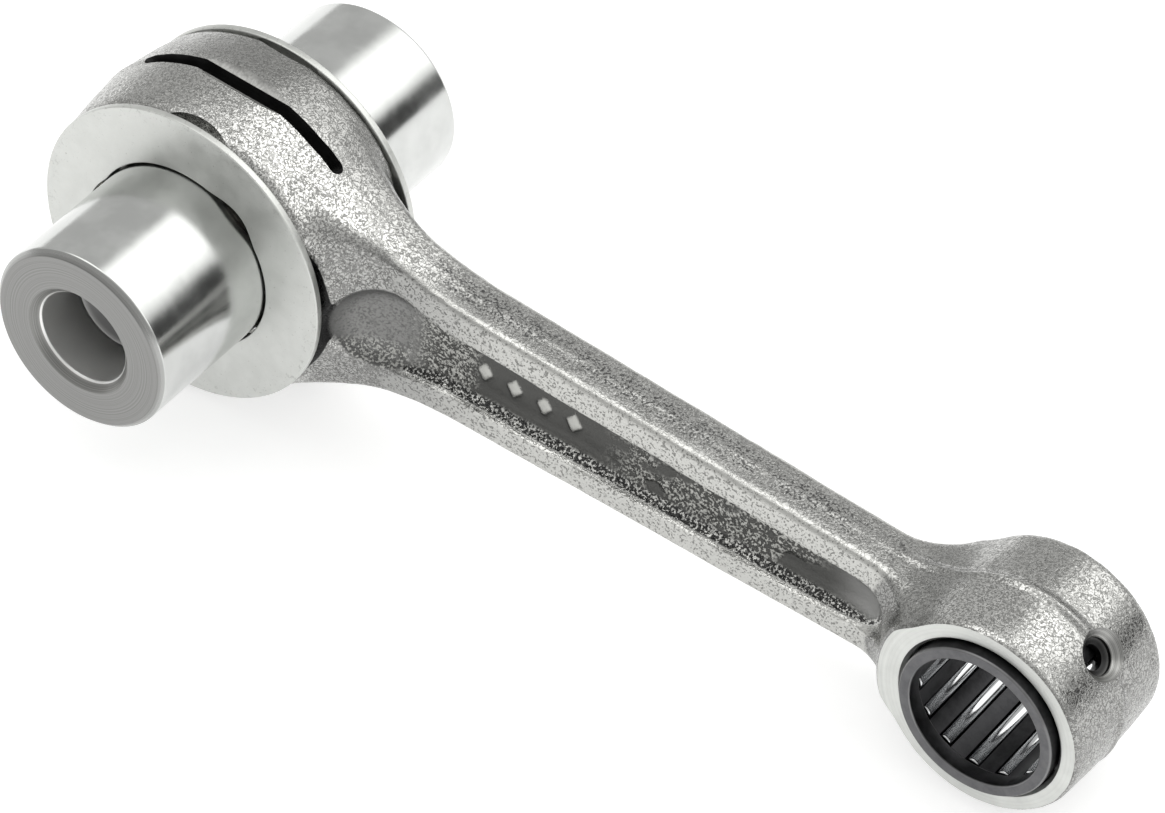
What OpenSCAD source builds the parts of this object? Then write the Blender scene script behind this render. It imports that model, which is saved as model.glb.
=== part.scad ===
// Two-stroke connecting rod kit: forged I-beam rod, hollow pressed-in crank pin,
// big-end roller bearing with thrust washers, small-end caged needle bearing.
// Millimetres. Origin at the big-end centre, +X along the rod to the small end,
// Y along the pins, +Z up (the rod is drawn standing on edge, flanges up and down).

/* [Rod] */
// Centre distance, big end to small end
centre_distance = 119.5; // [100:0.5:140]
// Radius of the big-end roller bore
big_bore_r = 17.03; // [14:0.01:20]
// Largest radius of the crowned big-end rim
big_rim_r = 22.6; // [20:0.1:26]
// Width of the big end across its ground faces
big_width = 18.6; // [14:0.1:24]
// Radius of the small-end needle bore
small_bore_r = 11.03; // [8:0.01:14]
// Largest radius of the small-end eye
small_rim_r = 14.3; // [12:0.1:18]
// Width of the small end across its ground faces
small_width = 19.3; // [14:0.1:24]

/* [Shank] */
// Half depth of the shank where it leaves the big end
shank_h_big = 9.35; // [7:0.05:12]
// Half depth of the shank where it meets the small end
shank_h_small = 7.6; // [5:0.05:10]
// Thickness of the shank across its flange faces
shank_width = 7.7; // [6:0.1:14]
// Web thickness left between the two pockets
web_width = 3.0; // [2:0.1:6]
// Radius of the side fillets running into the big end
big_fillet_r = 50; // [30:1:70]
// Radius of the side fillets running into the small end
small_fillet_r = 20; // [10:1:35]
// Radius of the hollow that thins the big end down to the shank
big_thin_r = 14.0; // [8:0.5:20]
// Radius of the hollow that thins the small end down to the shank
small_thin_r = 8; // [5:0.5:14]

/* [Pocket] */
// Half height of the spoon-shaped end of the pocket
spoon_h = 7.0; // [5:0.1:8]
// Half height of the pocket just past the spoon
pocket_h_big = 5.0; // [4:0.1:7]
// Half height of the pocket at the small end
pocket_h_small = 3.8; // [3:0.1:6]
// Height of the raised diamond forging pips on the web
pip_height = 3.4; // [1:0.1:4]

/* [Oil ways] */
// Width of the lubrication slot in the big-end rim
slot_width = 2.0; // [1:0.1:3]
// Angle from the rod axis where the slot starts
slot_start = 46.6; // [30:0.1:60]
// Angle from the rod axis where the slot ends
slot_end = 131.3; // [110:0.1:150]
// Radius of the shallow groove milled straight across each slot
groove_r = 2.6; // [2:0.1:5]
// Distance of that groove's floor from the bore axis
groove_floor = 21.2; // [20:0.05:22.5]
// Radius of the cutter that relieves each big-end face above and below the bore
relief_r = 10; // [6:0.5:16]
// Depth of that relief
relief_depth = 1.3; // [0.5:0.1:2]
// Distance of that relief's floor from the bore axis
relief_floor = 19.6; // [18:0.1:21.5]
// Radius of the small-end oil hole
oil_r = 1.6; // [1:0.1:2.5]
// Mouth radius of the oil-hole countersink
oil_sink_r = 3.6; // [2:0.1:4]
// Angle of the oil hole from the rod axis
oil_angle = 46; // [30:1:70]

/* [Crank pin] */
// Radius of the crank pin
pin_r = 13.0; // [10:0.1:16]
// Length of the crank pin
pin_length = 62; // [50:0.5:75]
// Chamfer on the pin ends
pin_chamfer = 0.8; // [0.3:0.1:2]
// Radius of the hollow at each end of the pin
pin_hollow_r = 6.5; // [5:0.1:9]
// Radius of the through bore behind the hollow
pin_through_r = 5.2; // [3:0.1:6]
// Depth of the wider hollow at each end
pin_hollow_depth = 8.5; // [5:0.5:20]
// Mouth radius of the pin countersink
pin_sink_r = 7.6; // [6:0.1:10]

/* [Big-end bearing] */
// Number of rollers
roller_count = 16; // [10:1:18]
// Roller radius
roller_r = 2.0; // [1.5:0.05:3]
// Roller length
roller_length = 14; // [10:0.5:17]
// Thrust washer outer radius
washer_r = 21.3; // [18:0.1:24]
// Thrust washer bore radius
washer_bore_r = 13.3; // [13:0.05:15]
// Thrust washer thickness
washer_t = 1.0; // [0.5:0.1:2]
// Number of shallow oil scallops round the washer bore
scallops = 3; // [2:1:8]

/* [Small-end bearing] */
// Number of needles
needle_count = 14; // [10:1:20]
// Needle radius
needle_r = 1.0; // [0.75:0.05:1.5]
// Needle length
needle_length = 16.6; // [12:0.1:20]
// Width of the needle cage
cage_width = 21.8; // [16:0.1:26]
// Inner radius of the needle cage
cage_inner_r = 9.15; // [8:0.05:11]
// Outer radius of the needle cage
cage_outer_r = 10.75; // [9:0.05:13]
// Angle of the first needle
needle_phase = 11.7; // [0:0.1:25.7]

/* [Hidden] */
$fn = 96;
half_big = big_width / 2;
half_small = small_width / 2;
half_shank = shank_width / 2;
roller_pitch_r = (pin_r + big_bore_r) / 2;
needle_pitch_r = small_bore_r - needle_r - 0.015;
big_cage_half = half_big - 0.15;
washer_y = half_big + 0.05;
// side fillets: centres sit a fillet radius above the flange line
big_fillet_z = shank_h_big - 0.25 + big_fillet_r;
big_fillet_x = sqrt(pow(big_rim_r + big_fillet_r, 2) - pow(big_fillet_z, 2));
small_fillet_z = shank_h_small - 0.05 + small_fillet_r;
small_fillet_dx = sqrt(pow(small_rim_r + small_fillet_r, 2) - pow(small_fillet_z, 2));
small_fillet_x = centre_distance - small_fillet_dx;
// distance from each eye's axis at which its thinning hollow meets the shank
big_thin_reach = 31.5;
small_thin_reach = 22.5;

function two(i) = str(i < 10 ? "0" : "", i);
function arc(cx, cy, r, a0, a1, n) = [for (i = [0 : n])
    [cx + r * cos(a0 + (a1 - a0) * i / n), cy + r * sin(a0 + (a1 - a0) * i / n)]];
function mirrored(p) = concat(p, [for (i = [len(p) - 1 : -1 : 0]) [p[i][0], -p[i][1]]]);

ROLLERS = [for (i = [1 : roller_count]) str("big_end_roller_", two(i))];
NEEDLES = [for (i = [1 : needle_count]) str("small_end_needle_", two(i))];

// cylinder lying along Y, centred on the mid-plane
module bar_y(r, w) { rotate([90, 0, 0]) cylinder(r = r, h = w, center = true); }
// lathe work turned about the Y axis from [radius, y] points
module turned_y(points) { rotate([-90, 0, 0]) rotate_extrude() polygon(points); }
// plate standing in the XZ plane, centred on the mid-plane
module plate_y(w) { rotate([90, 0, 0]) linear_extrude(height = w, center = true) children(); }

// side outline of shank and fillets, big end to small end
module shank_side() {
    a_big = atan2(big_fillet_z, big_fillet_x);
    a_small = atan2(small_fillet_z, small_fillet_dx);
    plate_y(2 * half_small) polygon(mirrored(concat(
        [[4, big_rim_r - 2.4]],
        arc(big_fillet_x, big_fillet_z, big_fillet_r, 180 + a_big, 270, 9),
        arc(small_fillet_x, small_fillet_z, small_fillet_r, 270, 360 - a_small, 9),
        [[centre_distance, small_rim_r - 1.5]])));
}

// what is left after both ends are thinned down to the shank, round each eye's own axis
module waisted() {
    plate_centre = centre_distance / 2;
    translate([plate_centre, 0, 0])
        cube([centre_distance, shank_width, 3 * big_rim_r], center = true);
    thinned(half_big - 0.6, big_thin_r, big_thin_reach);
    translate([centre_distance, 0, 0]) thinned(half_small - 0.25, small_thin_r, small_thin_reach);
}

// disc of half width w whose faces sink in a hollow of radius r to the shank's at the given reach
module thinned(w, r, reach) {
    a = acos((r + half_shank - w) / r);
    hollow = arc(reach, half_shank + r, r, 270 - a, 270, 7);
    turned_y(concat([[0, w]], hollow,
        [for (i = [len(hollow) - 1 : -1 : 0]) [hollow[i][0], -hollow[i][1]]], [[0, -w]]));
}

module big_eye() {
    turned_y([[big_bore_r - 4, -half_big], [big_rim_r - 1.6, -half_big],
        [big_rim_r - 1.0, 0.7 - half_big], [big_rim_r - 0.35, -4.8], [big_rim_r, -1.6],
        [big_rim_r, 1.6], [big_rim_r - 0.35, 4.8], [big_rim_r - 1.0, half_big - 0.7],
        [big_rim_r - 1.6, half_big], [big_bore_r - 4, half_big]]);
}

module small_eye() {
    translate([centre_distance, 0, 0]) turned_y([[small_bore_r - 3, -half_small],
        [small_rim_r - 0.5, -half_small], [small_rim_r - 0.2, 0.4 - half_small], [small_rim_r, -3],
        [small_rim_r, 3], [small_rim_r - 0.2, half_small - 0.4], [small_rim_r - 0.5, half_small],
        [small_bore_r - 3, half_small]]);
}

// lightening pocket, one on each side of the web, with a spoon end at the big eye
module pocket() {
    plate_y(8) polygon(mirrored(concat(
        [[21.4, 1.5], [22.2, 4.2], [23.8, 6.0], [26, spoon_h], [28.5, spoon_h - 0.35],
            [31.5, spoon_h - 1.2], [35.5, pocket_h_big + 0.1], [40, pocket_h_big]],
        arc(99.2, 0, pocket_h_small, 88, 10, 6))));
}

// lubrication slot through the rim with round ends, cut radially
module rim_slot() {
    trim = asin(slot_width / 2 / big_rim_r);
    reach = 30;
    mid = (slot_start + slot_end) / 2;
    plate_y(slot_width) polygon([[0, 0],
        [reach * cos(slot_start + trim), reach * sin(slot_start + trim)],
        [reach * cos(mid), 1.6 * reach * sin(mid)],
        [reach * cos(slot_end - trim), reach * sin(slot_end - trim)]]);
    for (a = [slot_start + trim, slot_end - trim])
        rotate([0, 90 - a, 0]) cylinder(r = slot_width / 2, h = reach);
}

// oil hole with its countersink, square to the small-end rim
module oil_hole(a) {
    translate([centre_distance, 0, 0]) rotate([0, 90 - a, 0]) {
        translate([0, 0, small_bore_r - 2]) cylinder(r = oil_r, h = 8);
        translate([0, 0, small_rim_r - (oil_sink_r - oil_r)])
            cylinder(r1 = oil_r, r2 = oil_sink_r + 1, h = oil_sink_r - oil_r + 1);
    }
}

module connecting_rod() color([0.62, 0.62, 0.60]) {
    difference() {
        union() {
            big_eye();
            small_eye();
            intersection() { shank_side(); waisted(); }
        }
        bar_y(big_bore_r, 40);
        for (s = [-1, 1]) translate([0, s * half_big, 0]) rotate([s * -90, 0, 0])
            translate([0, 0, -0.4]) cylinder(r1 = big_bore_r, r2 = big_bore_r + 0.8, h = 0.8);
        translate([centre_distance, 0, 0]) {
            bar_y(small_bore_r, 40);
            for (s = [-1, 1]) translate([0, s * half_small, 0]) rotate([s * -90, 0, 0])
                translate([0, 0, -0.4]) cylinder(r1 = small_bore_r, r2 = small_bore_r + 0.8, h = 0.8);
        }
        for (s = [-1, 1]) translate([0, s * (web_width / 2 + 4), 0]) pocket();
        for (s = [0, 1]) mirror([0, 0, s]) {
            rim_slot();
            translate([0, 0, groove_floor + groove_r]) rotate([0, 90, 0])
                cylinder(r = groove_r, h = 26, center = true);
            for (t = [-1, 1]) translate([0, t * (half_big + relief_r - relief_depth), relief_floor])
                cylinder(r = relief_r, h = 6);
        }
        for (a = [oil_angle, -oil_angle]) oil_hole(a);
    }
    // forging pips raised on the web, one row a side
    for (s = [-1, 1]) for (i = [0 : 3])
        translate([41 + 4.5 * i, s * (web_width / 2 + 0.1), 0]) plate_y(0.5)
            polygon([[-0.37 * pip_height, 0], [0, -pip_height / 2], [0.37 * pip_height, 0],
                [0, pip_height / 2]]);
}

module crank_pin() color([0.78, 0.79, 0.79]) {
    half = pin_length / 2;
    // right-hand half of the outline, outside face first; the relief marks off the pressed end
    relief = washer_y + washer_t + 0.05;
    outside = [[pin_r, relief], [pin_r - 0.2, relief + 0.2], [pin_r - 0.2, relief + 0.5],
        [pin_r, relief + 0.7], [pin_r, half - pin_chamfer], [pin_r - pin_chamfer, half],
        [pin_sink_r, half], [pin_hollow_r, half - pin_sink_r + pin_hollow_r],
        [pin_hollow_r, half - pin_hollow_depth], [pin_through_r, half - pin_hollow_depth - 0.8]];
    turned_y(concat(outside, [for (i = [len(outside) - 1 : -1 : 0]) [outside[i][0], -outside[i][1]]]));
}

module big_end_cage() color([0.75, 0.62, 0.42]) {
    inner = pin_r + 0.9;
    outer = big_bore_r - 0.75;
    difference() {
        turned_y([[inner, -big_cage_half], [outer, -big_cage_half], [outer, big_cage_half],
            [inner, big_cage_half]]);
        for (i = [0 : roller_count - 1]) rotate([0, -360 * i / roller_count, 0])
            translate([roller_pitch_r, 0, 0])
                cube([8, roller_length + 0.2, 2 * roller_r + 0.08], center = true);
    }
}

module big_end_roller(i) color([0.83, 0.84, 0.85])
    rotate([0, -360 * i / roller_count, 0]) translate([roller_pitch_r, 0, 0]) {
        half = roller_length / 2;
        turned_y([[0, -half], [roller_r - 0.2, -half], [roller_r, 0.2 - half], [roller_r, half - 0.2],
            [roller_r - 0.2, half], [0, half]]);
    }

// side is -1 for the front washer and 1 for the rear one
module thrust_washer(side) color([0.86, 0.87, 0.86])
    translate([0, side * (washer_y + washer_t / 2), 0]) plate_y(washer_t) difference() {
        circle(r = washer_r);
        circle(r = washer_bore_r);
        for (k = [0 : scallops - 1]) rotate(56 + 360 * k / scallops)
            translate([washer_bore_r - 5.1, 0]) circle(r = 6);
    }

module small_end_cage() color([0.22, 0.22, 0.22])
    translate([centre_distance, 0, 0]) {
        half = cage_width / 2;
        land = 2.3;
        difference() {
            turned_y([[cage_inner_r + 0.15, -half], [cage_outer_r - 0.2, -half],
                [cage_outer_r, 0.3 - half], [cage_outer_r, half - 0.3], [cage_outer_r - 0.2, half],
                [cage_inner_r + 0.15, half], [cage_inner_r, half - 0.15],
                [cage_inner_r, half - land], [cage_inner_r + 0.25, half - land - 0.25],
                [cage_inner_r + 0.25, land + 0.25 - half], [cage_inner_r, land - half],
                [cage_inner_r, 0.15 - half]]);
            for (i = [0 : needle_count - 1]) rotate([0, -needle_phase - 360 * i / needle_count, 0])
                translate([needle_pitch_r, 0, 0])
                    cube([5, needle_length + 0.2, 2 * needle_r + 0.06], center = true);
        }
    }

module small_end_needle(i) color([0.88, 0.89, 0.90])
    translate([centre_distance, 0, 0]) rotate([0, -needle_phase - 360 * i / needle_count, 0])
        translate([needle_pitch_r, 0, 0]) {
            half = needle_length / 2;
            turned_y([[0, -half], [needle_r - 0.25, -half], [needle_r, 0.25 - half],
                [needle_r, half - 0.25], [needle_r - 0.25, half], [0, half]]);
        }

connecting_rod();
crank_pin();
big_end_cage();
thrust_washer(-1);  // thrust_washer_front
thrust_washer(1);  // thrust_washer_rear
small_end_cage();
for (i = [0 : roller_count - 1])
    big_end_roller(i);
for (i = [0 : needle_count - 1])
    small_end_needle(i);
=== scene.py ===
import math
from functools import reduce

import bmesh
import bpy
import numpy as np
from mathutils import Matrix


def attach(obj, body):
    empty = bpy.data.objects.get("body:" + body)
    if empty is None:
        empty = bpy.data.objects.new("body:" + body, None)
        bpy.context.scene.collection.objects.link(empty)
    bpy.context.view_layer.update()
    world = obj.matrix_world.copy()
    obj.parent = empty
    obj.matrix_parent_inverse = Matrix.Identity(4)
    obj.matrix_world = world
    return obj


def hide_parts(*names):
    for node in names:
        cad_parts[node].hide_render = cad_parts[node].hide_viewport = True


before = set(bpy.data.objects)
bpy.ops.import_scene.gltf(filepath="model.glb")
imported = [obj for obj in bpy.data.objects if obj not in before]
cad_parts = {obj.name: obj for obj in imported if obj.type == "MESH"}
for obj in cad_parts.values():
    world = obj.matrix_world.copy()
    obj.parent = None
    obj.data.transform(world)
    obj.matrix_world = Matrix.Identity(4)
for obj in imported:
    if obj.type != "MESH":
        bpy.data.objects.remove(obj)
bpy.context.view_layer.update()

import openvdb
from mathutils import Matrix, Vector

MM = 0.001
SMOOTH_ANGLE = math.radians(32)

# sizes shared with the CAD model, in millimetres and degrees
CENTRES = 119.5
BIG_BORE, SMALL_BORE = 17.03, 11.03
BIG_HALF, SMALL_HALF = 9.3, 9.65
SHANK_HALF, WEB_HALF = 3.85, 1.5
GROOVE_R, GROOVE_FLOOR = 2.6, 21.2
RELIEF_R, RELIEF_DEPTH, RELIEF_FLOOR = 10.0, 1.3, 19.6
SLOT_HALF, SLOT_START, SLOT_END = 1.0, 46.6, 131.3
OIL_R, OIL_ANGLE = 1.6, 46
PIN_R, PIN_HALF, PIN_SINK_R, PIN_HOLE_R, PIN_WAIST_R = 13.0, 31.0, 7.6, 6.5, 5.2
WASHER_IN, WASHER_OUT, WASHER_R = 9.35, 10.35, 21.3
NEEDLES, NEEDLE_R, NEEDLE_HALF, NEEDLE_TRACK, NEEDLE_TURN = 14, 1.0, 8.3, 10.015, 11.7
ROLLERS, ROLLER_R, ROLLER_HALF, ROLLER_TRACK = 16, 2.0, 7.0, 15.015

# sizes that are off the CAD model's by 0.22 at most: its rims and flanges have no crown or flash
BIG_RIM, SMALL_RIM = 22.38, 14.08
BIG_FLANGE, SMALL_FLANGE = 9.3, 7.75
OIL_SINK_R, WASHER_BORE = 3.7, 13.25

# the scoop at the pocket's big end: half an oval seen from the side, then a narrower waist
SCOOP_X, SCOOP_LONG, SCOOP_TALL = 27.0, 6.2, 6.9
WAIST = 5.0


# ---------------------------------------------------------------- shapes as distances

def smooth_max(a, b, k):
    h = np.clip(0.5 + 0.5 * (a - b) / k, 0, 1)
    return b + (a - b) * h + k * h * (1 - h)


def smooth_min(a, b, k):
    return -smooth_max(-a, -b, k)


def arc(cx, cz, r, a0, a1, n):
    angles = [math.radians(a0 + (a1 - a0) * i / n) for i in range(n + 1)]
    return [(cx + r * math.cos(a), cz + r * math.sin(a)) for a in angles]


def mirrored(points):
    return points + [(x, -z) for x, z in reversed(points)]


def outline_distance(x, z, points):
    """Signed distance to a closed outline, negative inside, on a grid of points."""
    best = np.full(x.shape, 1e9)
    inside = np.zeros(x.shape, bool)
    for (ax, az), (bx, bz) in zip(points, points[1:] + points[:1]):
        ex, ez = bx - ax, bz - az
        if ex == 0 and ez == 0:
            continue
        t = np.clip(((x - ax) * ex + (z - az) * ez) / (ex * ex + ez * ez), 0, 1)
        best = np.minimum(best, np.hypot(x - ax - t * ex, z - az - t * ez))
        if ez != 0:
            inside ^= ((az > z) != (bz > z)) & (x < (z - az) * ex / ez + ax)
    return np.where(inside, -best, best)


def value_noise(shape, cells, rng):
    """Smooth noise from -1 to 1 on a grid, interpolated from random values a few cells apart."""
    out = rng.uniform(-1, 1, [c + 3 for c in cells])
    for axis in range(3):
        t = np.linspace(0, cells[axis], shape[axis])
        i = np.minimum(t.astype(int), cells[axis] - 1)
        f = t - i
        f = f * f * (3 - 2 * f)
        view = [1, 1, 1]
        view[axis] = -1
        f = f.reshape(view)
        out = np.take(out, i, axis) * (1 - f) + np.take(out, i + 1, axis) * f
    return out


def shank_outline():
    """The rod seen from the side: flanges, and the fillets into both eyes."""
    big_r, small_r = 50.0, 20.0
    big_z, small_z = BIG_FLANGE + big_r, SMALL_FLANGE + small_r
    big_x = math.sqrt((BIG_RIM + big_r) ** 2 - big_z ** 2)
    small_x = math.sqrt((SMALL_RIM + small_r) ** 2 - small_z ** 2)
    big_start = 180 + math.degrees(math.atan2(big_z, big_x))
    small_end = 360 - math.degrees(math.atan2(small_z, small_x))
    top = ([(2.0, BIG_RIM - 2.4)]
           + arc(big_x, big_z, big_r, big_start, 270, 24)
           + arc(CENTRES - small_x, small_z, small_r, 270, small_end, 24)
           + [(CENTRES, SMALL_RIM - 1.5)])
    return mirrored(top)


def pocket_outline():
    """The pocket seen from the side: the scoop, the waist, a straight run and a round end."""
    scoop = [(SCOOP_X - SCOOP_LONG * math.cos(a), SCOOP_TALL * math.sin(a))
             for a in np.linspace(0.05, math.pi / 2, 10)]
    waist = [(SCOOP_X + 9.5 * t, WAIST + (SCOOP_TALL - WAIST) * (0.5 + 0.5 * math.cos(math.pi * t)))
             for t in np.linspace(0.12, 1, 8)]
    return mirrored(scoop + waist + arc(99.0, 0, 3.85, 88, 4, 10))


def swelling(distance, reach, r, ay):
    """Distance to the shank's faces, which swell on a fillet of radius r nearer than reach."""
    fillet = r - np.hypot(distance - reach, ay - (SHANK_HALF + r))
    return np.where(distance < reach, fillet, ay - SHANK_HALF)


def big_eye(x, ay, big_r, flash):
    """The big eye: a crowned rim, hollowed where the shank starts."""
    eye = smooth_max(big_r - (BIG_RIM + flash - 0.05 * ay - 0.0085 * ay ** 2), ay - 9.75, 1.9)
    return smooth_max(eye, np.where(x > 12, swelling(x, 28.4, 14, ay), -20.0), 0.7)


def small_eye(ay, small_r, flash):
    rim = SMALL_RIM - 0.04 + 1.4 * flash - 0.03 * ay - 0.001 * ay ** 2
    return smooth_max(small_r - rim, ay - 10.1, 1.5)


def shank(x, z, ay, big_r, small_r, side):
    """The beam before its pockets, swelling towards both eyes."""
    plan = smooth_min(swelling(big_r, 31.5, 14, ay), swelling(small_r, 22.5, 8, ay), 0.2)
    plan = smooth_max(plan, ay - np.where(x < 60, 8.6, 9.95), 1.2)
    plan = plan + 0.05 * np.maximum(0, np.abs(z) - 5.5)
    return smooth_max(side + 0.02 * ay + 0.018 * ay ** 2, plan, 1.1)


def pocket(x, ay, outline):
    """The pocket with a rounded foot and drafted walls; each end rises in a scoop."""
    near_big = np.clip((35 - x) / 14.1, 0, 1)
    near_small = np.clip((x - 93.5) / 9.5, 0, 1)
    floor = WEB_HALF + 3.6 * near_big ** 2 + 1.5 * near_small ** 2 - ay
    wall = outline + 0.16 * (SHANK_HALF - np.minimum(ay, 7))
    return smooth_max(wall, floor, 2.2 + 3.0 * near_big + 1.6 * near_small)


def with_pips(body, x, z, ay):
    """Adds four plain raised diamonds to the web."""
    for i in range(4):
        diamond = 1.3 * np.abs(x - (41.0 + 4.5 * i)) + np.abs(z)
        pip = smooth_max(0.62 * (diamond - 1.65), ay - (WEB_HALF + 0.42), 0.22)
        pip = smooth_max(pip, 0.9 - ay, 0.1)
        body = smooth_min(body, pip, 0.18)
    return body


def forging(step):
    """Distance field of the whole forged rod, before machining, on a grid of the given step."""
    low = np.array([-24.0, -11.0, -24.0])
    size = (159.5, 22.0, 48.0)
    axes = [low[i] + step * np.arange(int(round(size[i] / step)) + 1) for i in range(3)]
    x, y, z = np.meshgrid(*axes, indexing="ij", sparse=True)
    ay = np.abs(y)
    flat_x, flat_z = np.broadcast_arrays(x[:, 0, :], z[:, 0, :])
    side = outline_distance(flat_x, flat_z, shank_outline())[:, None, :]
    hole = outline_distance(flat_x, flat_z, pocket_outline())[:, None, :]
    big_r = np.hypot(x, z)
    small_r = np.hypot(x - CENTRES, z)
    flash = 0.14 * np.exp(-(y / 0.42) ** 2)

    body = shank(x, z, ay, big_r, small_r, side - flash)
    body = smooth_min(body, big_eye(x, ay, big_r, flash), 0.8)
    body = smooth_min(body, small_eye(ay, small_r, flash), 0.8)
    body = smooth_max(body, -pocket(x, ay, hole), 0.3)
    body = with_pips(body, x, z, ay)

    rng = np.random.default_rng(7)
    body = body + 0.035 * value_noise(body.shape, [int(size[0] / 5), 5, 10], rng)
    body = body + 0.028 * value_noise(body.shape, [int(size[0] / 1.8), 13, 27], rng)
    return low, body


# ---------------------------------------------------------------- mesh helpers

def new_object(name, verts, faces, materials=(), body=None, smooth=True):
    mesh = bpy.data.meshes.new(name)
    mesh.from_pydata([tuple(v) for v in verts], [], [tuple(f) for f in faces])
    mesh.validate()
    obj = bpy.data.objects.new(name, mesh)
    bpy.context.scene.collection.objects.link(obj)
    for material in materials:
        mesh.materials.append(material)
    if smooth:
        shade(obj, SMOOTH_ANGLE)
    if body:
        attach(obj, body)
    return obj


def shade(obj, angle):
    """Shades smooth, with sharp edges above the angle."""
    obj.data.shade_smooth()
    obj.data.set_sharp_from_angle(angle=angle)


def rounded(points, radii, steps=4):
    """A closed outline with each corner replaced by a small arc-like curve."""
    out = []
    n = len(points)
    for i, p in enumerate(points):
        r = radii[i] if isinstance(radii, (list, tuple)) else radii
        a, b, c = Vector(points[i - 1]), Vector(p), Vector(points[(i + 1) % n])
        if r <= 0:
            out.append(tuple(b))
            continue
        u, v = a - b, c - b
        r = min(r, u.length * 0.45, v.length * 0.45)
        s, e = b + u.normalized() * r, b + v.normalized() * r
        for k in range(steps + 1):
            t = k / steps
            out.append(tuple(s * (1 - t) ** 2 + b * (2 * t * (1 - t)) + e * t ** 2))
    return out


def lathe(name, profile, segments, centre=(0, 0), radius=None, **kw):
    """Turns a closed (radius, y) outline in millimetres about an axis along Y.

    radius(r, angle) may change a radius round the axis."""
    verts, faces = [], []
    n = len(profile)
    for s in range(segments):
        a = 2 * math.pi * s / segments
        ca, sa = math.cos(a), math.sin(a)
        for r, y in profile:
            rr = radius(r, a) if radius else r
            verts.append(((centre[0] + rr * ca) * MM, y * MM, (centre[1] + rr * sa) * MM))
    for s in range(segments):
        t = (s + 1) % segments
        for i in range(n):
            j = (i + 1) % n
            faces.append((s * n + i, t * n + i, t * n + j, s * n + j))
    return new_object(name, verts, flip_out(verts, faces), **kw)


def flip_out(verts, faces):
    """Turns the faces over if they enclose a negative volume."""
    points = np.asarray(verts)
    volume = 0.0
    for sides in {len(f) for f in faces}:
        group = np.array([f for f in faces if len(f) == sides])
        first = points[group[:, 0]]
        for i in range(1, sides - 1):
            crossed = np.cross(points[group[:, i]], points[group[:, i + 1]])
            volume += np.einsum("ij,ij->", first, crossed)
    return [tuple(reversed(f)) for f in faces] if volume < 0 else faces


def prism(name, outline, y0, y1, **kw):
    """An (x, z) outline in millimetres extruded from y0 to y1."""
    n = len(outline)
    verts = [(x * MM, y * MM, z * MM) for y in (y0, y1) for x, z in outline]
    faces = [tuple(range(n)), tuple(reversed(range(n, 2 * n)))]
    faces += [(i + n, (i + 1) % n + n, (i + 1) % n, i) for i in range(n)]
    return new_object(name, verts, flip_out(verts, faces), smooth=False, **kw)


def turned_cutter(name, start, direction, profile, segments, material):
    """A cutter turned about any axis, from a line of (radius, distance along the axis)."""
    d = Vector(direction).normalized()
    u = d.orthogonal().normalized()
    v = d.cross(u)
    n = len(profile)
    verts, faces = [], []
    for s in range(segments):
        a = 2 * math.pi * s / segments
        side = u * math.cos(a) + v * math.sin(a)
        for r, t in profile:
            verts.append(tuple((Vector(start) + side * r + d * t) * MM))
    for s in range(segments):
        t = (s + 1) % segments
        for i in range(n - 1):
            faces.append((s * n + i, t * n + i, t * n + i + 1, s * n + i + 1))
    faces.append(tuple(reversed([s * n for s in range(segments)])))
    faces.append(tuple(s * n + n - 1 for s in range(segments)))
    return new_object(name, verts, flip_out(verts, faces), [material], smooth=False)


def cut(obj, cutter):
    """Cuts the cutter out, keeps its material on the cut faces, and drops it."""
    mod = obj.modifiers.new("cut", "BOOLEAN")
    mod.operation = "DIFFERENCE"
    mod.object = cutter
    mod.solver = "MANIFOLD"
    mod.material_mode = "TRANSFER"
    apply_modifiers(obj)
    mesh = cutter.data
    bpy.data.objects.remove(cutter)
    bpy.data.meshes.remove(mesh)


def apply_modifiers(obj):
    graph = bpy.context.evaluated_depsgraph_get()
    mesh = bpy.data.meshes.new_from_object(obj.evaluated_get(graph), depsgraph=graph)
    old = obj.data
    obj.modifiers.clear()
    obj.data = mesh
    mesh.name = obj.name
    bpy.data.meshes.remove(old)


def face_outwards(obj):
    """Makes the faces of a closed mesh point outwards."""
    mesh = bmesh.new()
    mesh.from_mesh(obj.data)
    bmesh.ops.recalc_face_normals(mesh, faces=mesh.faces)
    mesh.to_mesh(obj.data)
    mesh.free()


# ---------------------------------------------------------------- materials

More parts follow.
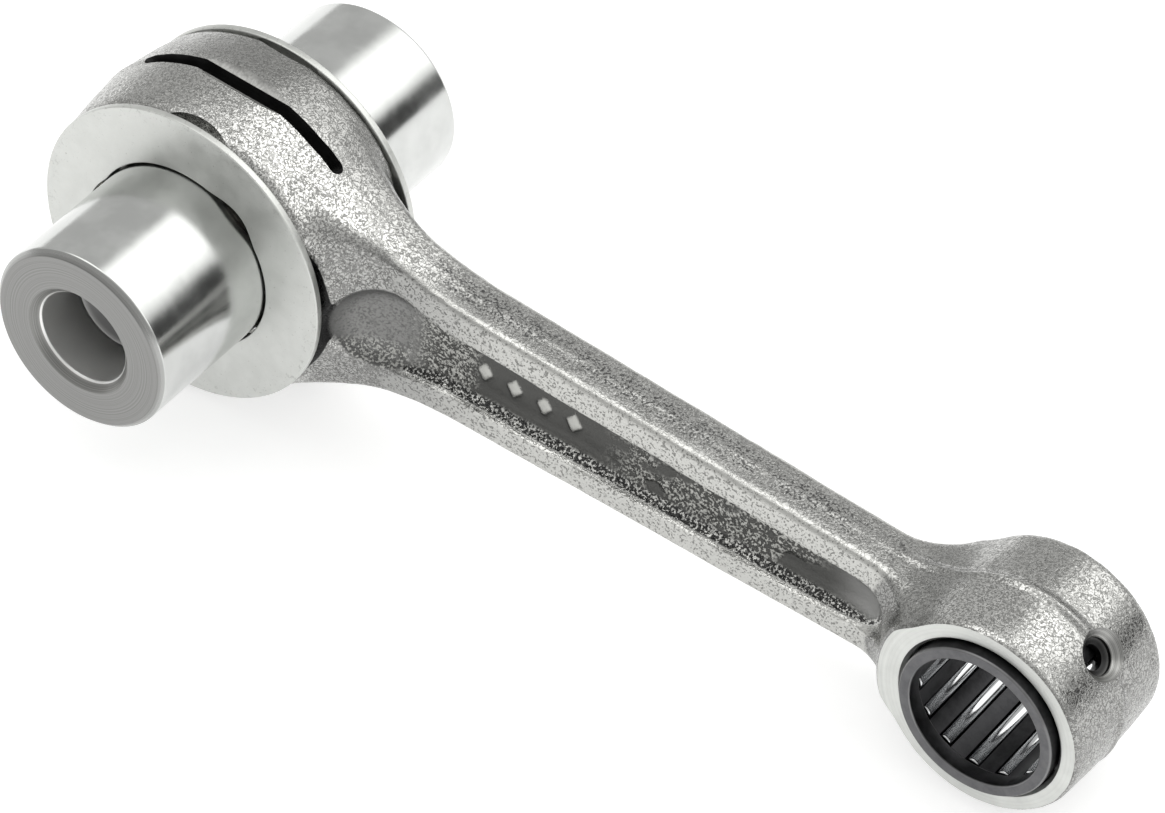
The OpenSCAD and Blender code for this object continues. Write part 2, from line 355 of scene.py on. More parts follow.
class Material:
    """A node material. Its helpers return sockets, so they nest like formulas."""

    def __init__(self, name, colour, metallic=1.0, roughness=0.4):
        self.m = bpy.data.materials.new(name)
        self.m.use_nodes = True
        self.t = self.m.node_tree
        self.shader = next(n for n in self.t.nodes if n.type == "BSDF_PRINCIPLED")
        self.shader.inputs["Metallic"].default_value = metallic
        self.shader.inputs["Base Color"].default_value = (*colour, 1)
        self.shader.inputs["Roughness"].default_value = roughness
        self.coords = self.scaled(self.node("ShaderNodeTexCoord").outputs["Object"], 1000.0)

    def node(self, kind, **settings):
        n = self.t.nodes.new(kind)
        for k, v in settings.items():
            setattr(n, k, v)
        return n

    def put(self, socket, value):
        if isinstance(value, bpy.types.NodeSocket):
            self.t.links.new(value, socket)
        else:
            socket.default_value = value

    def math(self, op, a, b=0.0):
        n = self.node("ShaderNodeMath", operation=op)
        self.put(n.inputs[0], a)
        self.put(n.inputs[1], b)
        return n.outputs[0]

    def size(self, value):
        return self.math("ABSOLUTE", value)

    def product(self, *values):
        return reduce(lambda a, b: self.math("MULTIPLY", a, b), values)

    def total(self, *values):
        return reduce(lambda a, b: self.math("ADD", a, b), values)

    def less(self, a, b):
        return self.math("SUBTRACT", a, b)

    def either(self, *values):
        return reduce(lambda a, b: self.math("MAXIMUM", a, b), values)

    def length(self, a, b):
        return self.math("SQRT", self.total(self.product(a, a), self.product(b, b)))

    def scaled(self, vector, factor):
        n = self.node("ShaderNodeVectorMath", operation="MULTIPLY")
        self.put(n.inputs[0], vector)
        n.inputs[1].default_value = factor if isinstance(factor, tuple) else (factor,) * 3
        return n.outputs[0]

    def moved(self, offset):
        n = self.node("ShaderNodeVectorMath", operation="ADD")
        self.put(n.inputs[0], self.coords)
        self.put(n.inputs[1], offset)
        return n.outputs[0]

    def split(self, vector):
        n = self.node("ShaderNodeSeparateXYZ")
        self.put(n.inputs[0], vector)
        return n.outputs[:3]

    def facing_y(self):
        """How nearly a face looks along Y, from 0 to 1."""
        return self.size(self.split(self.node("ShaderNodeNewGeometry").outputs["Normal"])[1])

    def joined(self, x, y=0.0, z=0.0):
        n = self.node("ShaderNodeCombineXYZ")
        for s, v in zip(n.inputs, (x, y, z)):
            self.put(s, v)
        return n.outputs[0]

    def noise(self, vector, scale, detail=2.0, roughness=0.5, distortion=0.0):
        n = self.node("ShaderNodeTexNoise")
        self.put(n.inputs["Vector"], vector)
        n.inputs["Scale"].default_value = scale
        n.inputs["Detail"].default_value = detail
        n.inputs["Roughness"].default_value = roughness
        n.inputs["Distortion"].default_value = distortion
        return n.outputs["Fac"]

    def cells(self, vector, scale):
        n = self.node("ShaderNodeTexVoronoi", feature="F1")
        self.put(n.inputs["Vector"], vector)
        n.inputs["Scale"].default_value = scale
        return n.outputs["Distance"]

    def span(self, value, low, high, out_low=0.0, out_high=1.0):
        """Eases from out_low to out_high as the value goes from low to high; low may be the larger."""
        n = self.node("ShaderNodeMapRange", interpolation_type="SMOOTHSTEP")
        for s, v in zip(n.inputs, (value, low, high, out_low, out_high)):
            self.put(s, v)
        return n.outputs[0]

    def band(self, value, rise, fall):
        """1 between a rising and a falling edge, each a pair of where it is 0 and where it is 1."""
        return self.product(self.span(value, *rise), self.span(value, *fall))

    def mix(self, factor, a, b):
        n = self.node("ShaderNodeMix", data_type="RGBA")
        self.put(n.inputs[0], factor)
        for s, v in ((n.inputs[6], a), (n.inputs[7], b)):
            self.put(s, (*v, 1) if isinstance(v, tuple) else v)
        return n.outputs[2]

    def mix_value(self, factor, a, b):
        n = self.node("ShaderNodeMix", data_type="FLOAT")
        self.put(n.inputs[0], factor)
        self.put(n.inputs[2], a)
        self.put(n.inputs[3], b)
        return n.outputs[0]

    def bump(self, height, distance_mm, strength=1.0):
        n = self.node("ShaderNodeBump")
        self.put(n.inputs["Height"], height)
        n.inputs["Distance"].default_value = distance_mm * MM
        n.inputs["Strength"].default_value = strength
        return n.outputs[0]

    def finish(self, colour, roughness, normal):
        for name, v in (("Base Color", colour), ("Roughness", roughness), ("Normal", normal)):
            self.put(self.shader.inputs[name], v)
        return self.m


class ForgedSkin(Material):
    """Tumbled forging skin: bright plateaus outlined by fine worm-like grooves, a dark calm web,
    pitted flange faces."""

    def __init__(self):
        super().__init__("forged_skin", (0.5, 0.5, 0.48))
        self.x, self.y, self.z = self.split(self.coords)
        self.ay, self.az = self.size(self.y), self.size(self.z)
        self.ny = self.facing_y()
        self.find_places()
        self.make_textures()

    def find_places(self):
        """Masks for the pocket's scoop, web and fillet, and the flanges' faces and edges."""
        x, ay, az, ny = self.x, self.ay, self.az, self.ny
        along = self.product(self.less(x, SCOOP_X), 1 / SCOOP_LONG)
        tall = self.product(self.z, 1 / SCOOP_TALL)
        self.oval = self.total(self.product(along, along), self.product(tall, tall))
        self.scoop = self.product(self.span(self.oval, 1.0, 0.86), self.span(x, 30.5, 29.5))
        inner = self.product(self.span(az, 7.1, 6.8), self.span(ay, 3.35, 3.05),
                             self.band(x, (29.5, 30.5), (103.5, 102.5)))
        floor = self.product(inner, self.span(ny, 0.72, 0.93))
        self.web = self.either(floor, self.scoop)
        self.fillet = self.product(inner, self.less(1.0, floor))
        self.in_shank = self.band(x, (26.6, 27.2), (102.0, 100.0))
        lip = self.less(az, 8.7)
        start = self.less(x, self.product(lip, lip, 0.55))
        self.strip = self.product(self.span(ny, 0.45, 0.65), self.band(ay, (3.15, 3.4), (4.5, 4.2)),
                                  self.span(start, 26.8, 28.0), self.span(x, 102.0, 100.0))
        self.edge = self.product(self.band(ny, (0.15, 0.35), (0.75, 0.55)),
                                 self.in_shank, self.span(ay, 2.6, 3.1))

    def make_textures(self):
        """The noises, from the coarsest patches to the finest grain, and what is read from them."""
        self.patch = self.noise(self.scaled(self.moved((3.0, 11.0, 5.0)), (0.6, 1.0, 1.0)), 0.22, 2.5, 0.6)
        self.cell = self.noise(self.coords, 1.5, 1.6, 0.5, 0.5)
        self.grain = self.noise(self.moved((4.0, 1.0, 9.0)), 2.9, 1.6, 0.55, 0.2)
        self.fine = self.noise(self.coords, 7.0, 2.0, 0.5)
        worm = self.span(self.size(self.less(self.cell, 0.5)), 0.008, 0.048)
        small_worm = self.span(self.size(self.less(self.grain, 0.5)), 0.004, 0.045)
        self.outlines = self.mix_value(self.span(self.patch, 0.50, 0.62), worm, small_worm)
        self.hollows = self.span(self.grain, 0.37, 0.50)
        self.sparks = self.span(self.grain, 0.48, 0.58)
        self.pits = self.span(self.noise(self.moved((7.1, 3.3, 1.7)), 3.0, 2.5, 0.6), 0.37, 0.46)
        self.flecks = self.span(self.noise(self.moved((2.0, 8.0, 4.0)), 3.6, 1.4, 0.5), 0.40, 0.45)
        near = self.band(self.x, (29.5, 33.0), (41.0, 38.0))
        far = self.product(self.span(self.x, 58.0, 66.0), self.span(self.patch, 0.40, 0.50))
        along_web = self.product(self.either(near, far), self.span(self.x, 94.0, 88.0))
        low = self.product(self.scoop, self.span(self.z, -2.6, -4.2), 0.9)
        self.speckled = self.either(along_web, low)

    def plateau_colour(self):
        """The skin's high spots, with painted highlights on the near half of the rim and of the small
        eye's crown.
        """
        x, y = self.x, self.y
        # painted highlight on the near half of the big eye's rim
        painted_highlight_near_rim = self.product(self.span(y, 1.0, -1.5), self.band(x, (-8.0, 6.0), (34.0, 18.0)))
        # painted highlight on the near half of the small eye's crown
        crown = self.product(self.span(y, 4.0, -4.0), self.band(x, (108.0, 114.0), (127.0, 121.0)))
        colour = self.mix(painted_highlight_near_rim, (0.52, 0.52, 0.507), (0.72, 0.72, 0.703))
        return self.mix(crown, colour, (0.66, 0.66, 0.644))

    def skin_colour(self):
        """The open skin: plateaus, hollows, outlines, worn flange sides, painted shade on the rear rim and
        small eye.
        """
        x = self.x
        plateau = self.mix(self.flecks, (0.30, 0.30, 0.29), self.plateau_colour())
        skin = self.mix(self.hollows, (0.33, 0.33, 0.322), plateau)
        skin = self.mix(self.outlines, (0.22, 0.22, 0.213), skin)
        worn = self.product(self.in_shank, self.span(self.ny, 0.4, 0.2), self.span(self.ay, 2.3, 1.2),
                            self.span(self.patch, 0.36, 0.52), self.less(1.0, self.hollows))
        skin = self.mix(worn, skin, (0.10, 0.10, 0.10))
        skin = self.mix(self.product(self.span(self.ny, 0.45, 0.80), 0.42), skin, (0.08, 0.08, 0.078))
        # painted shade: the rear half of the rim, the small eye's neck and its far end are painted darker
        painted_shade_rear_rim = self.product(self.span(self.y, 0.5, 3.5), self.span(x, 30.0, 20.0), 0.30)
        painted_shade_neck = self.product(self.span(x, 102.0, 106.0), self.span(x, 112.0, 108.0, 0.0, 0.25))
        painted_shade_ends = self.either(painted_shade_rear_rim, self.span(x, 124.0, 131.0, 0.0, 0.28), painted_shade_neck)
        skin = self.mix(painted_shade_ends, skin, (0.10, 0.10, 0.098))
        # painted shadow in the gap where the washer stands off the shank
        return self.mix(self.painted_washer_shadow(), skin, (0.02, 0.02, 0.02))

    def painted_washer_shadow(self):
        """A painted shadow: a dark crescent where the washer's edge stands off the start of the shank."""
        bow = self.product(self.total(self.z, 1.0), 1 / 12.0)
        reach = self.total(self.length(self.x, self.z), self.product(bow, bow, 1.5))
        return self.product(self.span(reach, 21.85, 21.7), self.band(self.ay, (3.6, 4.6), (9.25, 9.0)),
                            self.span(self.x, 13.0, 16.0))

    def strip_colour(self):
        """The flange faces, pitted, darker towards the big eye."""
        far = self.mix(self.fine, (0.50, 0.50, 0.48), (0.60, 0.60, 0.58))
        far = self.mix(self.pits, (0.24, 0.24, 0.23), far)
        near = self.mix(self.pits, (0.18, 0.18, 0.175), (0.40, 0.40, 0.39))
        return self.mix(self.span(self.x, 48.0, 28.0), far, near)

    def web_colour(self):
        """Dark and calm, paler at both ends, mottled in the scoop with painted shade at its rim, bright
        specks and pips.
        """
        calm = self.mix(self.fine, (0.075, 0.075, 0.073), (0.105, 0.105, 0.10))
        ends = self.either(self.span(self.x, 35.0, 28.0), self.span(self.x, 92.0, 99.0))
        calm = self.mix(ends, calm, (0.24, 0.24, 0.235))
        mottle = self.product(self.scoop, self.span(self.grain, 0.56, 0.40),
                              self.span(self.cell, 0.3, 0.7, 0.8, 0.3))
        calm = self.mix(mottle, calm, (0.11, 0.11, 0.108))
        # painted shade: the scoop is painted darker towards its rim
        rim = self.product(self.scoop, self.span(self.oval, 0.35, 0.95, 0.0, 0.8))
        calm = self.mix(rim, calm, (0.11, 0.11, 0.108))
        pips = self.product(self.span(self.ay, 1.62, 1.78), self.span(self.az, 2.3, 2.1),
                            self.band(self.x, (38.0, 38.5), (57.5, 57.0)))
        bright = self.either(pips, self.product(self.sparks, self.speckled))
        return self.mix(bright, calm, (0.46, 0.46, 0.44))

    def height(self):
        """Relief: worms and grain on the skin, and a soft ridge along the flash, high on the small eye."""
        ridge = self.product(self.span(self.ay, 1.2, 0.0), self.span(self.x, 98.0, 106.0, 0.1, 4.5))
        skin = self.total(self.product(self.outlines, 0.42), self.product(self.cell, 0.9),
                          self.product(self.grain, 0.6), self.product(self.fine, 0.25), ridge)
        web = self.product(skin, self.total(0.35, self.product(self.speckled, 1.8)))
        strip = self.total(self.product(self.pits, 0.9), self.product(self.fine, 0.5))
        height = self.mix_value(self.fillet, skin, self.product(skin, 3.0))
        return self.mix_value(self.strip, self.mix_value(self.web, height, web), strip)

    def made(self):
        """The finished material, each place laid over the one before."""
        colour = self.mix(self.strip, self.skin_colour(), self.strip_colour())
        colour = self.mix(self.product(self.edge, 0.7), colour, (0.66, 0.66, 0.64))
        fillet_colour = self.mix(self.sparks, (0.06, 0.06, 0.06), (0.62, 0.62, 0.60))
        colour = self.mix(self.web, self.mix(self.fillet, colour, fillet_colour), self.web_colour())
        rough = self.mix_value(self.outlines, 0.34, 0.17)
        rough = self.mix_value(self.web, rough, 0.40)
        rough = self.mix_value(self.strip, rough, 0.34)
        return self.finish(colour, rough, self.bump(self.height(), 0.062))


def turned_material(name, colour, roughness, centre_x, bump_mm=0.024, ring_scale=3.0, tint=0.10):
    """A lathe-turned face: fine rings about an axis along Y at the given x."""
    m = Material(name, colour, roughness=roughness)
    x, y, z = m.split(m.coords)
    radius = m.length(m.less(x, centre_x), z)
    rings = m.noise(m.joined(radius, m.product(y, 0.6)), ring_scale, 4.0, 0.7)
    cloud = m.noise(m.coords, 0.35, 3.0, 0.6)
    light = m.total(m.product(rings, 0.6), m.product(cloud, 0.4))
    low = tuple(c * (1 - tint) for c in colour)
    high = tuple(c * (1 + tint) for c in colour)
    rough = m.span(cloud, 0.3, 0.7, roughness * 0.9, roughness * 1.12)
    return m.finish(m.mix(m.span(light, 0.35, 0.65), low, high), rough, m.bump(rings, bump_mm, 0.6))


def drilled_material():
    """The oil holes' countersinks: rings about each hole's own axis, darker down the hole."""
    m = Material("drilled_hole", (0.3, 0.3, 0.29), roughness=0.34)
    x, y, z = m.split(m.coords)
    dx, az = m.less(x, CENTRES), m.size(z)
    c, s = math.cos(math.radians(OIL_ANGLE)), math.sin(math.radians(OIL_ANGLE))
    across = m.less(m.product(dx, s), m.product(az, c))
    along = m.total(m.product(dx, c), m.product(az, s))
    rings = m.noise(m.joined(m.length(across, y)), 4.5, 3.0, 0.7)
    colour = m.mix(m.span(rings, 0.38, 0.62), (0.17, 0.17, 0.165), (0.44, 0.44, 0.43))
    colour = m.mix(m.span(along, 12.7, 12.1), colour, (0.03, 0.03, 0.03))
    return m.finish(colour, 0.34, m.bump(rings, 0.08, 0.7))


def ground_material():
    """The ground crank pin: polished round its side, turned on its ends and in its hole, with painted
    shade deep in the hole.
    """
    m = Material("ground_pin", (0.62, 0.63, 0.63), roughness=0.2)
    x, y, z = m.split(m.coords)
    ay = m.size(y)
    end = m.span(m.facing_y(), 0.5, 0.8)
    radius = m.length(x, z)
    angle = m.math("ARCTAN2", z, x)
    rings = m.noise(m.joined(radius), 5.5, 5.0, 0.75)
    lay = m.noise(m.joined(m.product(angle, 1.1), m.product(y, 9.0)), 1.0, 4.0, 0.7)
    cloud = m.noise(m.coords, 0.22, 3.0, 0.55)
    inside = m.span(radius, PIN_SINK_R + 0.1, PIN_SINK_R)
    sink = m.span(ay, 29.75, 29.85)
    burr = m.product(m.span(m.size(m.less(radius, PIN_HOLE_R + 0.05)), 0.24, 0.12),
                     m.span(ay, 29.5, 29.7))
    side_colour = m.mix(m.span(cloud, 0.3, 0.7), (0.57, 0.58, 0.57), (0.64, 0.65, 0.64))
    end_colour = m.mix(m.span(rings, 0.3, 0.7), (0.19, 0.19, 0.185), (0.33, 0.33, 0.325))
    # painted shade: the bore is painted dark deeper in, pale nearer its mouth
    hole_colour = m.mix(m.span(ay, 23.1, 22.1), (0.84, 0.84, 0.83), (0.16, 0.16, 0.16))
    sink_colour = m.mix(m.span(rings, 0.35, 0.65), (0.16, 0.16, 0.155), (0.34, 0.34, 0.33))
    hole_colour = m.mix(sink, hole_colour, sink_colour)
    hole_colour = m.mix(burr, hole_colour, (0.88, 0.88, 0.87))
    colour = m.mix(inside, m.mix(end, side_colour, end_colour), hole_colour)
    rough = m.mix_value(end, m.span(cloud, 0.3, 0.7, 0.13, 0.20), 0.30)
    rough = m.mix_value(inside, rough, 0.42)
    height = m.mix_value(end, m.product(lay, 0.25), rings)
    return m.finish(colour, rough, m.bump(height, 0.02, 0.5))


def washer_material():
    """Soft silvery washer: matt, faintly mottled, light scratches, small dents, a scuffed edge."""
    m = Material("washer_silver", (0.66, 0.67, 0.65), roughness=0.42)
    x, _, z = m.split(m.coords)
    cloud = m.noise(m.coords, 0.28, 4.0, 0.6)
    scratch = m.span(m.noise(m.scaled(m.coords, (0.5, 1.0, 4.0)), 1.4, 3.0, 0.7, 0.6), 0.62, 0.68)
    dents = m.span(m.cells(m.coords, 0.16), 0.06, 0.22)
    speck = m.span(m.noise(m.coords, 2.6, 2.0, 0.6), 0.26, 0.33)
    scuff = m.span(m.noise(m.moved((5.0, 2.0, 8.0)), 1.6, 4.0, 0.75, 0.8), 0.58, 0.64)
    scuff = m.product(scuff, m.span(m.length(x, z), 18.6, 20.6), 0.45)
    colour = m.mix(m.span(cloud, 0.3, 0.7), (0.59, 0.60, 0.58), (0.66, 0.67, 0.65))
    colour = m.mix(speck, (0.42, 0.42, 0.40), colour)
    colour = m.mix(scuff, colour, (0.30, 0.30, 0.29))
    height = m.total(m.product(dents, 0.5), m.product(scratch, -0.10),
                     m.product(m.noise(m.coords, 5.0, 2.0, 0.6), 0.10))
    return m.finish(colour, m.span(cloud, 0.3, 0.7, 0.38, 0.48), m.bump(height, 0.03, 0.6))


def oxide_material():
    """Black-oxide needle cage: dark and satin, greyer on its end faces, rubbed at their edges."""
    m = Material("black_oxide", (0.05, 0.05, 0.055), roughness=0.38)
    x, y, z = m.split(m.coords)
    cloud = m.noise(m.coords, 0.6, 4.0, 0.65)
    grain = m.noise(m.coords, 6.0, 2.0, 0.5)
    cloudy = m.span(cloud, 0.3, 0.7)
    radius = m.length(m.less(x, CENTRES), z)
    land = m.span(m.size(y), 10.55, 10.7)
    edge = m.either(m.span(radius, 10.45, 10.65), m.span(radius, 9.35, 9.25))
    colour = m.mix(cloudy, (0.035, 0.035, 0.037), (0.06, 0.06, 0.063))
    colour = m.mix(land, colour, m.mix(cloudy, (0.11, 0.11, 0.115), (0.15, 0.15, 0.155)))
    colour = m.mix(m.product(edge, land, 0.35), colour, (0.35, 0.35, 0.35))
    return m.finish(colour, m.span(cloud, 0.3, 0.7, 0.30, 0.42), m.bump(grain, 0.012, 0.5))


def needle_material():
    """Lapped bearing steel: near mirror, with a faint lengthwise lay."""
    m = Material("lapped_steel", (0.78, 0.79, 0.80), roughness=0.12)
    lay = m.noise(m.scaled(m.coords, (2.5, 0.1, 2.5)), 1.0, 2.0, 0.5)
    colour = m.mix(m.span(lay, 0.3, 0.7), (0.60, 0.61, 0.62), (0.68, 0.69, 0.70))
    rough = m.span(lay, 0.3, 0.7, 0.08, 0.12)
    return m.finish(colour, rough, m.bump(lay, 0.002, 0.3))


def plated_material():
    """Plated big-end cage: pale satin with a slight warm cast and soft tool marks."""
    m = Material("plated_cage", (0.66, 0.64, 0.58), roughness=0.35)
    cloud = m.noise(m.coords, 0.4, 4.0, 0.6)
    marks = m.noise(m.scaled(m.coords, (0.4, 6.0, 0.4)), 1.0, 3.0, 0.6)
    colour = m.mix(m.span(cloud, 0.3, 0.7), (0.58, 0.56, 0.50), (0.70, 0.68, 0.62))
    return m.finish(colour, m.span(cloud, 0.3, 0.7, 0.3, 0.42), m.bump(marks, 0.01, 0.5))


# ---------------------------------------------------------------- the rod

def make_rod():
    skin = ForgedSkin().made()
    big_face = turned_material("ground_big_face", (0.66, 0.66, 0.64), 0.34, 0.0)
    small_face = turned_material("ground_small_face", (0.62, 0.63, 0.61), 0.40, CENTRES)
    rod = forged_body(skin)
    face_eye(rod, -30, 45, BIG_HALF, big_face)
    face_eye(rod, 80, 140, SMALL_HALF, small_face)
    bore_eye(rod, 0, BIG_BORE, BIG_HALF, big_face)
    bore_eye(rod, CENTRES, SMALL_BORE, SMALL_HALF, small_face)
    milled = turned_material("milled_face", (0.38, 0.38, 0.37), 0.42, 60.0, 0.08, 4.0, 0.3)
    # painted shade: the slot's walls are painted near black
    painted_shade_slot_wall = turned_material("painted_shade_slot_wall", (0.07, 0.07, 0.07), 0.5, 0.0, ring_scale=2.0)
    drilled = drilled_material()
    for side in (-1, 1):
        cut_groove(rod, side, milled)
        cut(rod, slot_cutter(side, painted_shade_slot_wall))
        cut_reliefs(rod, side, skin)
        cut_oil_hole(rod, side, drilled)
    shade(rod, SMOOTH_ANGLE)
    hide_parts("connecting_rod")


def forged_body(skin):
    step = 0.36
    low, field = forging(step)
    grid = openvdb.FloatGrid(2.0)
    grid.copyFromArray(np.ascontiguousarray(np.clip(field, -2, 2), dtype=np.float32))
    points, triangles, quads = grid.convertToPolygons(isovalue=0.0, adaptivity=0.0)
    verts = (points * step + low) * MM
    faces = [tuple(int(i) for i in f) for f in (*quads, *triangles)]
    return new_object("rod_forging", verts, flip_out(verts, faces), [skin], "rod", smooth=False)


def face_eye(rod, x0, x1, half, material):
    """Machines both faces of an eye flat."""
    block = [(x0, -30), (x1, -30), (x1, 30), (x0, 30)]
    for side in (-1, 1):
        y0, y1 = sorted((side * half, side * 14))
        cut(rod, prism("face_cut", block, y0, y1, materials=[material]))


def bore_eye(rod, centre, bore, half, material):
    """Bores an eye, with a small chamfer at each mouth."""
    chamfer = 0.45
    wide = bore + chamfer
    profile = [(wide, -15), (wide, -half), (bore, chamfer - half), (bore, half - chamfer),
               (wide, half), (wide, 15)]
    cut(rod, turned_cutter("bore_cut", (centre, 0, 0), (0, 1, 0), profile, 160, material))


def cut_groove(rod, side, material):
    """The shallow milled groove along the rim, across the slot."""
    start = (0, 0, side * (GROOVE_FLOOR + GROOVE_R))
    profile = [(GROOVE_R, -13), (GROOVE_R, 13)]
    cut(rod, turned_cutter("groove_cut", start, (1, 0, 0), profile, 64, material))


def cut_reliefs(rod, side, material):
    """The shallow oil relief in each face of the rim."""
    profile = [(RELIEF_R, RELIEF_FLOOR), (RELIEF_R, 25.0)]
    for face in (-1, 1):
        start = (0, face * (BIG_HALF + RELIEF_R - RELIEF_DEPTH), 0)
        cut(rod, turned_cutter("relief_cut", start, (0, 0, side), profile, 96, material))


def cut_oil_hole(rod, side, material):
    """The slanted oil hole of the small eye, with its countersink."""
    direction = (math.cos(math.radians(OIL_ANGLE)), 0, side * math.sin(math.radians(OIL_ANGLE)))
    profile = [(OIL_R, 6), (OIL_R, 11.9), (2.35, 12.3), (2.35, 12.75), (OIL_SINK_R, 14.1),
               (4.8, 15.2), (4.8, 20)]
    cut(rod, turned_cutter("oil_cut", (CENTRES, 0, 0), direction, profile, 48, material))


def slot_path(steps, ends):
    """The slot's outline as (angle, y): round one end, along a side, round the other end and back."""
    rim = 21.8
    tip = SLOT_HALF / rim
    start = math.radians(SLOT_START) + tip
    run = math.radians(SLOT_END) - tip - start
    bend = [math.pi * k / ends for k in range(ends + 1)]
    straight = [run * k / steps for k in range(1, steps)]
    path = [(start - tip * math.sin(t), SLOT_HALF * math.cos(t)) for t in bend]
    path += [(start + t, -SLOT_HALF) for t in straight]
    path += [(start + run + tip * math.sin(t), -SLOT_HALF * math.cos(t)) for t in bend]
    path += [(start + run - t, SLOT_HALF) for t in straight]
    return path


def slot_cutter(side, material):
    """The lubrication slot: a ring sector with round ends, from the bore out through the rim."""
    inner, outer, ends = 15.5, 25.0, 8
    path = slot_path(36, ends)
    n = len(path)
    verts = [(r * math.cos(a) * MM, y * MM, side * r * math.sin(a) * MM)
             for r in (inner, 0.5 * (inner + outer), outer) for a, y in path]
    faces = [(k * n + i, k * n + (i + 1) % n, (k + 1) * n + (i + 1) % n, (k + 1) * n + i)
             for k in range(2) for i in range(n)]
    # each cap is a strip of faces between the two long sides, from one tip to the other
    tip = ends // 2
    for base in (0, 2 * n):
        for k in range(n // 2):
            corners = (tip - k, tip + k, tip + k + 1, tip - k - 1)
            face = tuple(dict.fromkeys(base + c % n for c in corners))
            faces.append(face if base else face[::-1])
    slot = new_object("slot_cut", verts, faces, [material], smooth=False)
    face_outwards(slot)
    return slot


# ---------------------------------------------------------------- bearing pieces

def make_pin(material):
    right = [(PIN_R, 0, 0), (PIN_R, PIN_HALF - 0.8, 0.15), (PIN_R - 0.8, PIN_HALF, 0.15),
             (PIN_SINK_R, PIN_HALF, 0.12), (PIN_HOLE_R, PIN_HALF - 1.1, 0.1),
             (PIN_HOLE_R, PIN_HALF - 8.5, 0.1), (PIN_WAIST_R, PIN_HALF - 9.3, 0.2)]
    points = right + [(r, -y, corner) for r, y, corner in reversed(right[1:])]
    profile = rounded([(r, y) for r, y, _ in points], [corner for _, _, corner in points], 3)
    pin = lathe("crank_pin_ground", profile, 160, materials=[material], body="crank_pin")
    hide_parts("crank_pin")


def make_washer(name, node, body, side, material):
    """A thin ring with three scallops in its bore."""
    def radius(r, a):
        if r > 16:
            return r
        off = abs((math.degrees(a) - 56 + 60) % 120 - 60)
        lobe = 0.5 + 0.5 * math.cos(math.pi * min(1.0, off / 21))
        return r + 0.95 * lobe ** 0.8

    y0, y1 = sorted((side * WASHER_IN, side * WASHER_OUT))
    section = [(WASHER_BORE, y0), (WASHER_R, y0), (WASHER_R, y1), (WASHER_BORE, y1)]
    ring = lathe(name, rounded(section, 0.2, 4), 240, radius=radius, materials=[material], body=body)
    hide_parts(node)


def make_small_cage(material):
    half, land, inner, outer = 10.9, 2.3, 9.15, 10.75
    points = [(inner + 0.15, -half), (outer - 0.2, -half), (outer, 0.3 - half), (outer, half - 0.3),
              (outer - 0.2, half), (inner + 0.15, half), (inner, half - 0.15), (inner, half - land),
              (inner + 0.25, half - land - 0.25), (inner + 0.25, land + 0.25 - half),
              (inner, land - half), (inner, 0.15 - half)]
    cage = lathe("needle_cage", rounded(points, 0.08, 2), 196, (CENTRES, 0), materials=[material],
                 body="small_cage", smooth=False)
    w = NEEDLE_R + 0.03
    for i in range(NEEDLES):
        a = math.radians(NEEDLE_TURN + 360 * i / NEEDLES)
        c, s = math.cos(a), math.sin(a)
        window = [(CENTRES + c * r - s * t, s * r + c * t)
                  for r, t in ((8, -w), (12.5, -w), (12.5, w), (8, w))]
        cut(cage, prism("window", window, -8.4, 8.4, materials=[material]))
    shade(cage, math.radians(20))
    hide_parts("small_end_cage")


def roller_profile(r, half, crown):
    """Half the section of a roller with radiused, slightly domed ends."""
    corner = min(0.3, r * 0.3)
    end = [(0.0005, half), (r * 0.5, half - crown * 0.25), (r - corner, half - crown)]
    end += [(r - corner + corner * math.sin(t), half - crown - corner + corner * math.cos(t))
            for t in np.linspace(0.3, math.pi / 2, 5)]
    return [(a, -b) for a, b in end] + end[::-1]


def make_rollers(name, node, body, places, profile, segments, material):
    """A ring of rollers, numbered from 01, each for its own node and on its own body."""
    for i, place in enumerate(places):
        number = "_%02d" % (i + 1)
        piece = lathe(name + number, profile, segments, place, materials=[material],
                      body=body + number)
        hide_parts(node + number)


def on_ring(count, centre, track, turn):
    """Centres (x, z) evenly round a circle, the first at the given turn in degrees."""
    angles = [math.radians(turn + 360 * i / count) for i in range(count)]
    return [(centre + track * math.cos(a), track * math.sin(a)) for a in angles]


def make_bearings(lapped, plated):
    """The needles and rollers, and the hidden roller cage's material."""
    make_rollers("needle", "small_end_needle", "needle",
                 on_ring(NEEDLES, CENTRES, NEEDLE_TRACK, NEEDLE_TURN),
                 roller_profile(NEEDLE_R, NEEDLE_HALF, 0.12), 32, lapped)
    make_rollers("roller", "big_end_roller", "big_roller", on_ring(ROLLERS, 0, ROLLER_TRACK, 0),
                 roller_profile(ROLLER_R, ROLLER_HALF, 0.15), 40, lapped)
    for slot in bpy.data.objects["big_end_cage"].material_slots:
        slot.material = plated


# ---------------------------------------------------------------- studio

WALLS = 0.62
# azimuth, elevation, where it is full and where it ends in degrees off that direction, brightness
SKY = ((150, 63, 9, 29, 2.0), (155, 45, 8, 32, 2.1), (104, 40, 8, 25, 1.8), (-80, 66, 14, 30, 1.8),
       (128, 9, 9, 18, 0.06))


def aim(obj, target, roll):
    turn = Matrix.Rotation(math.radians(roll), 3, "Z").to_quaternion()
    obj.rotation_mode = "QUATERNION"
    obj.rotation_quaternion = (Vector(target) - obj.location).to_track_quat("-Z", "Y") @ turn


def towards(azimuth, elevation):
    """A direction: azimuth 0 is towards -Y, 90 towards +X."""
    a, e = math.radians(azimuth), math.radians(elevation)
    return (math.sin(a) * math.cos(e), -math.cos(a) * math.cos(e), math.sin(e))


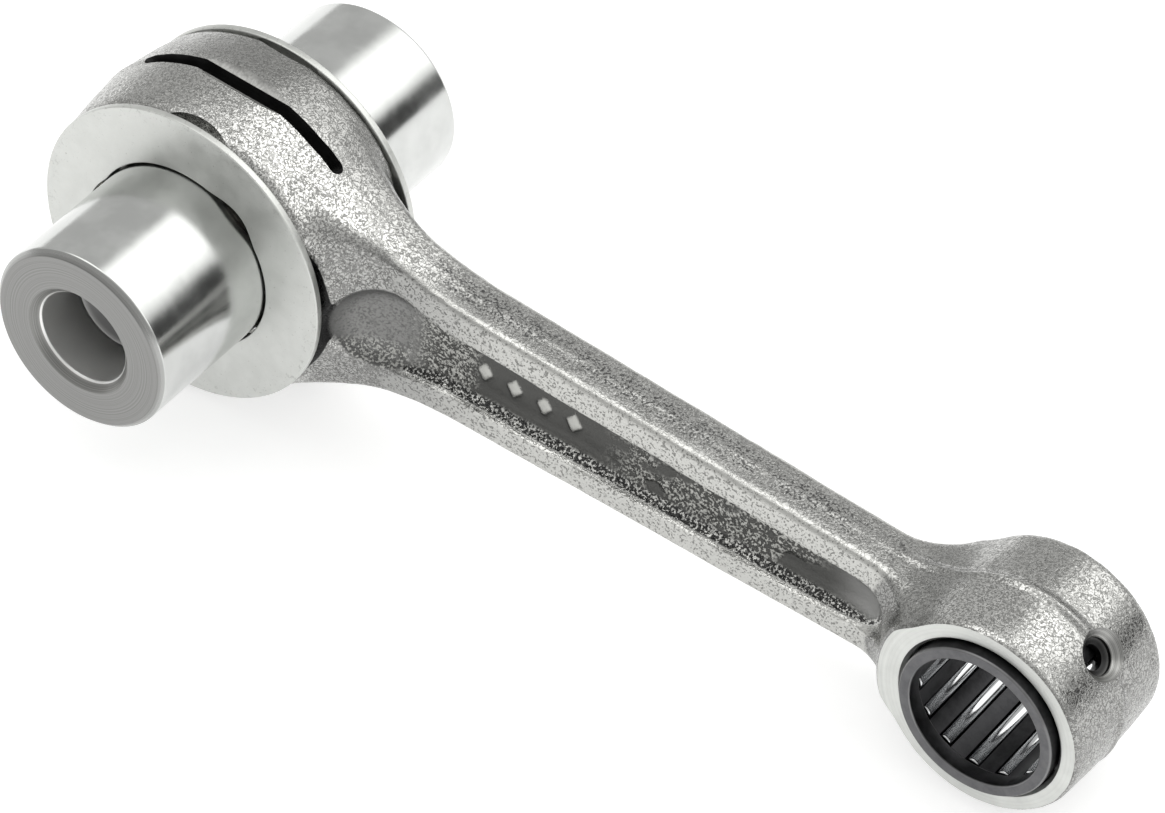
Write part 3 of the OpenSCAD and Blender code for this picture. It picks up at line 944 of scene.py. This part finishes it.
def make_world(scene):
    """A pale studio: even walls, softboxes high behind and at both sides, a low dark gap."""
    world = bpy.data.worlds.new("studio")
    scene.world = world
    world.use_nodes = True
    tree = world.node_tree
    back = next(n for n in tree.nodes if n.type == "BACKGROUND")
    direction = tree.nodes.new("ShaderNodeTexCoord").outputs["Generated"]
    level = None
    for azimuth, elevation, full, none, value in SKY:
        dot = tree.nodes.new("ShaderNodeVectorMath")
        dot.operation = "DOT_PRODUCT"
        tree.links.new(direction, dot.inputs[0])
        dot.inputs[1].default_value = towards(azimuth, elevation)
        edge = tree.nodes.new("ShaderNodeMapRange")
        edge.interpolation_type = "SMOOTHSTEP"
        tree.links.new(dot.outputs["Value"], edge.inputs[0])
        edge.inputs[1].default_value = math.cos(math.radians(none))
        edge.inputs[2].default_value = math.cos(math.radians(full))
        blend = tree.nodes.new("ShaderNodeMix")
        blend.data_type = "FLOAT"
        tree.links.new(edge.outputs[0], blend.inputs[0])
        if level is None:
            blend.inputs[2].default_value = WALLS
        else:
            tree.links.new(level, blend.inputs[2])
        blend.inputs[3].default_value = value
        level = blend.outputs[0]
    tree.links.new(level, back.inputs["Strength"])
    back.inputs["Color"].default_value = (1.0, 1.0, 0.985, 1)


def make_floor():
    """A pale floor. The rod rests on both eyes, so the floor leans with it."""
    lean = math.asin((BIG_RIM - SMALL_RIM) / CENTRES)
    pale = Material("pale_floor", (0.66, 0.66, 0.66), metallic=0.0, roughness=0.9)
    pale.shader.inputs["Emission Color"].default_value = (1, 1, 1, 1)
    pale.shader.inputs["Emission Strength"].default_value = 0.58
    s = 3.0
    floor = new_object("floor", [(-s, -s, 0), (s, -s, 0), (s, s, 0), (-s, s, 0)], [(0, 1, 2, 3)],
                       [pale.m], smooth=False)
    floor.rotation_euler = (0, -lean, 0)
    floor.location = (0, 0, -(BIG_RIM + 0.1) * MM / math.cos(lean))


def make_camera(scene):
    data = bpy.data.cameras.new("camera")
    data.sensor_width = 36
    data.lens = 207.62
    data.clip_start, data.clip_end = 0.05, 20
    camera = bpy.data.objects.new("camera", data)
    scene.collection.objects.link(camera)
    camera.location = (0.33809, -0.51416, 0.58315)
    aim(camera, (0.05437, 0, 0.00158), roll=8.94)
    scene.camera = camera


def make_studio():
    scene = bpy.context.scene
    scene.view_settings.view_transform = "Standard"
    make_world(scene)
    make_floor()
    make_camera(scene)


make_studio()
make_rod()
make_pin(ground_material())
silver = washer_material()
make_washer("washer_front", "thrust_washer_front", "front_washer", -1, silver)
make_washer("washer_rear", "thrust_washer_rear", "rear_washer", 1, silver)
make_small_cage(oxide_material())
make_bearings(needle_material(), plated_material())
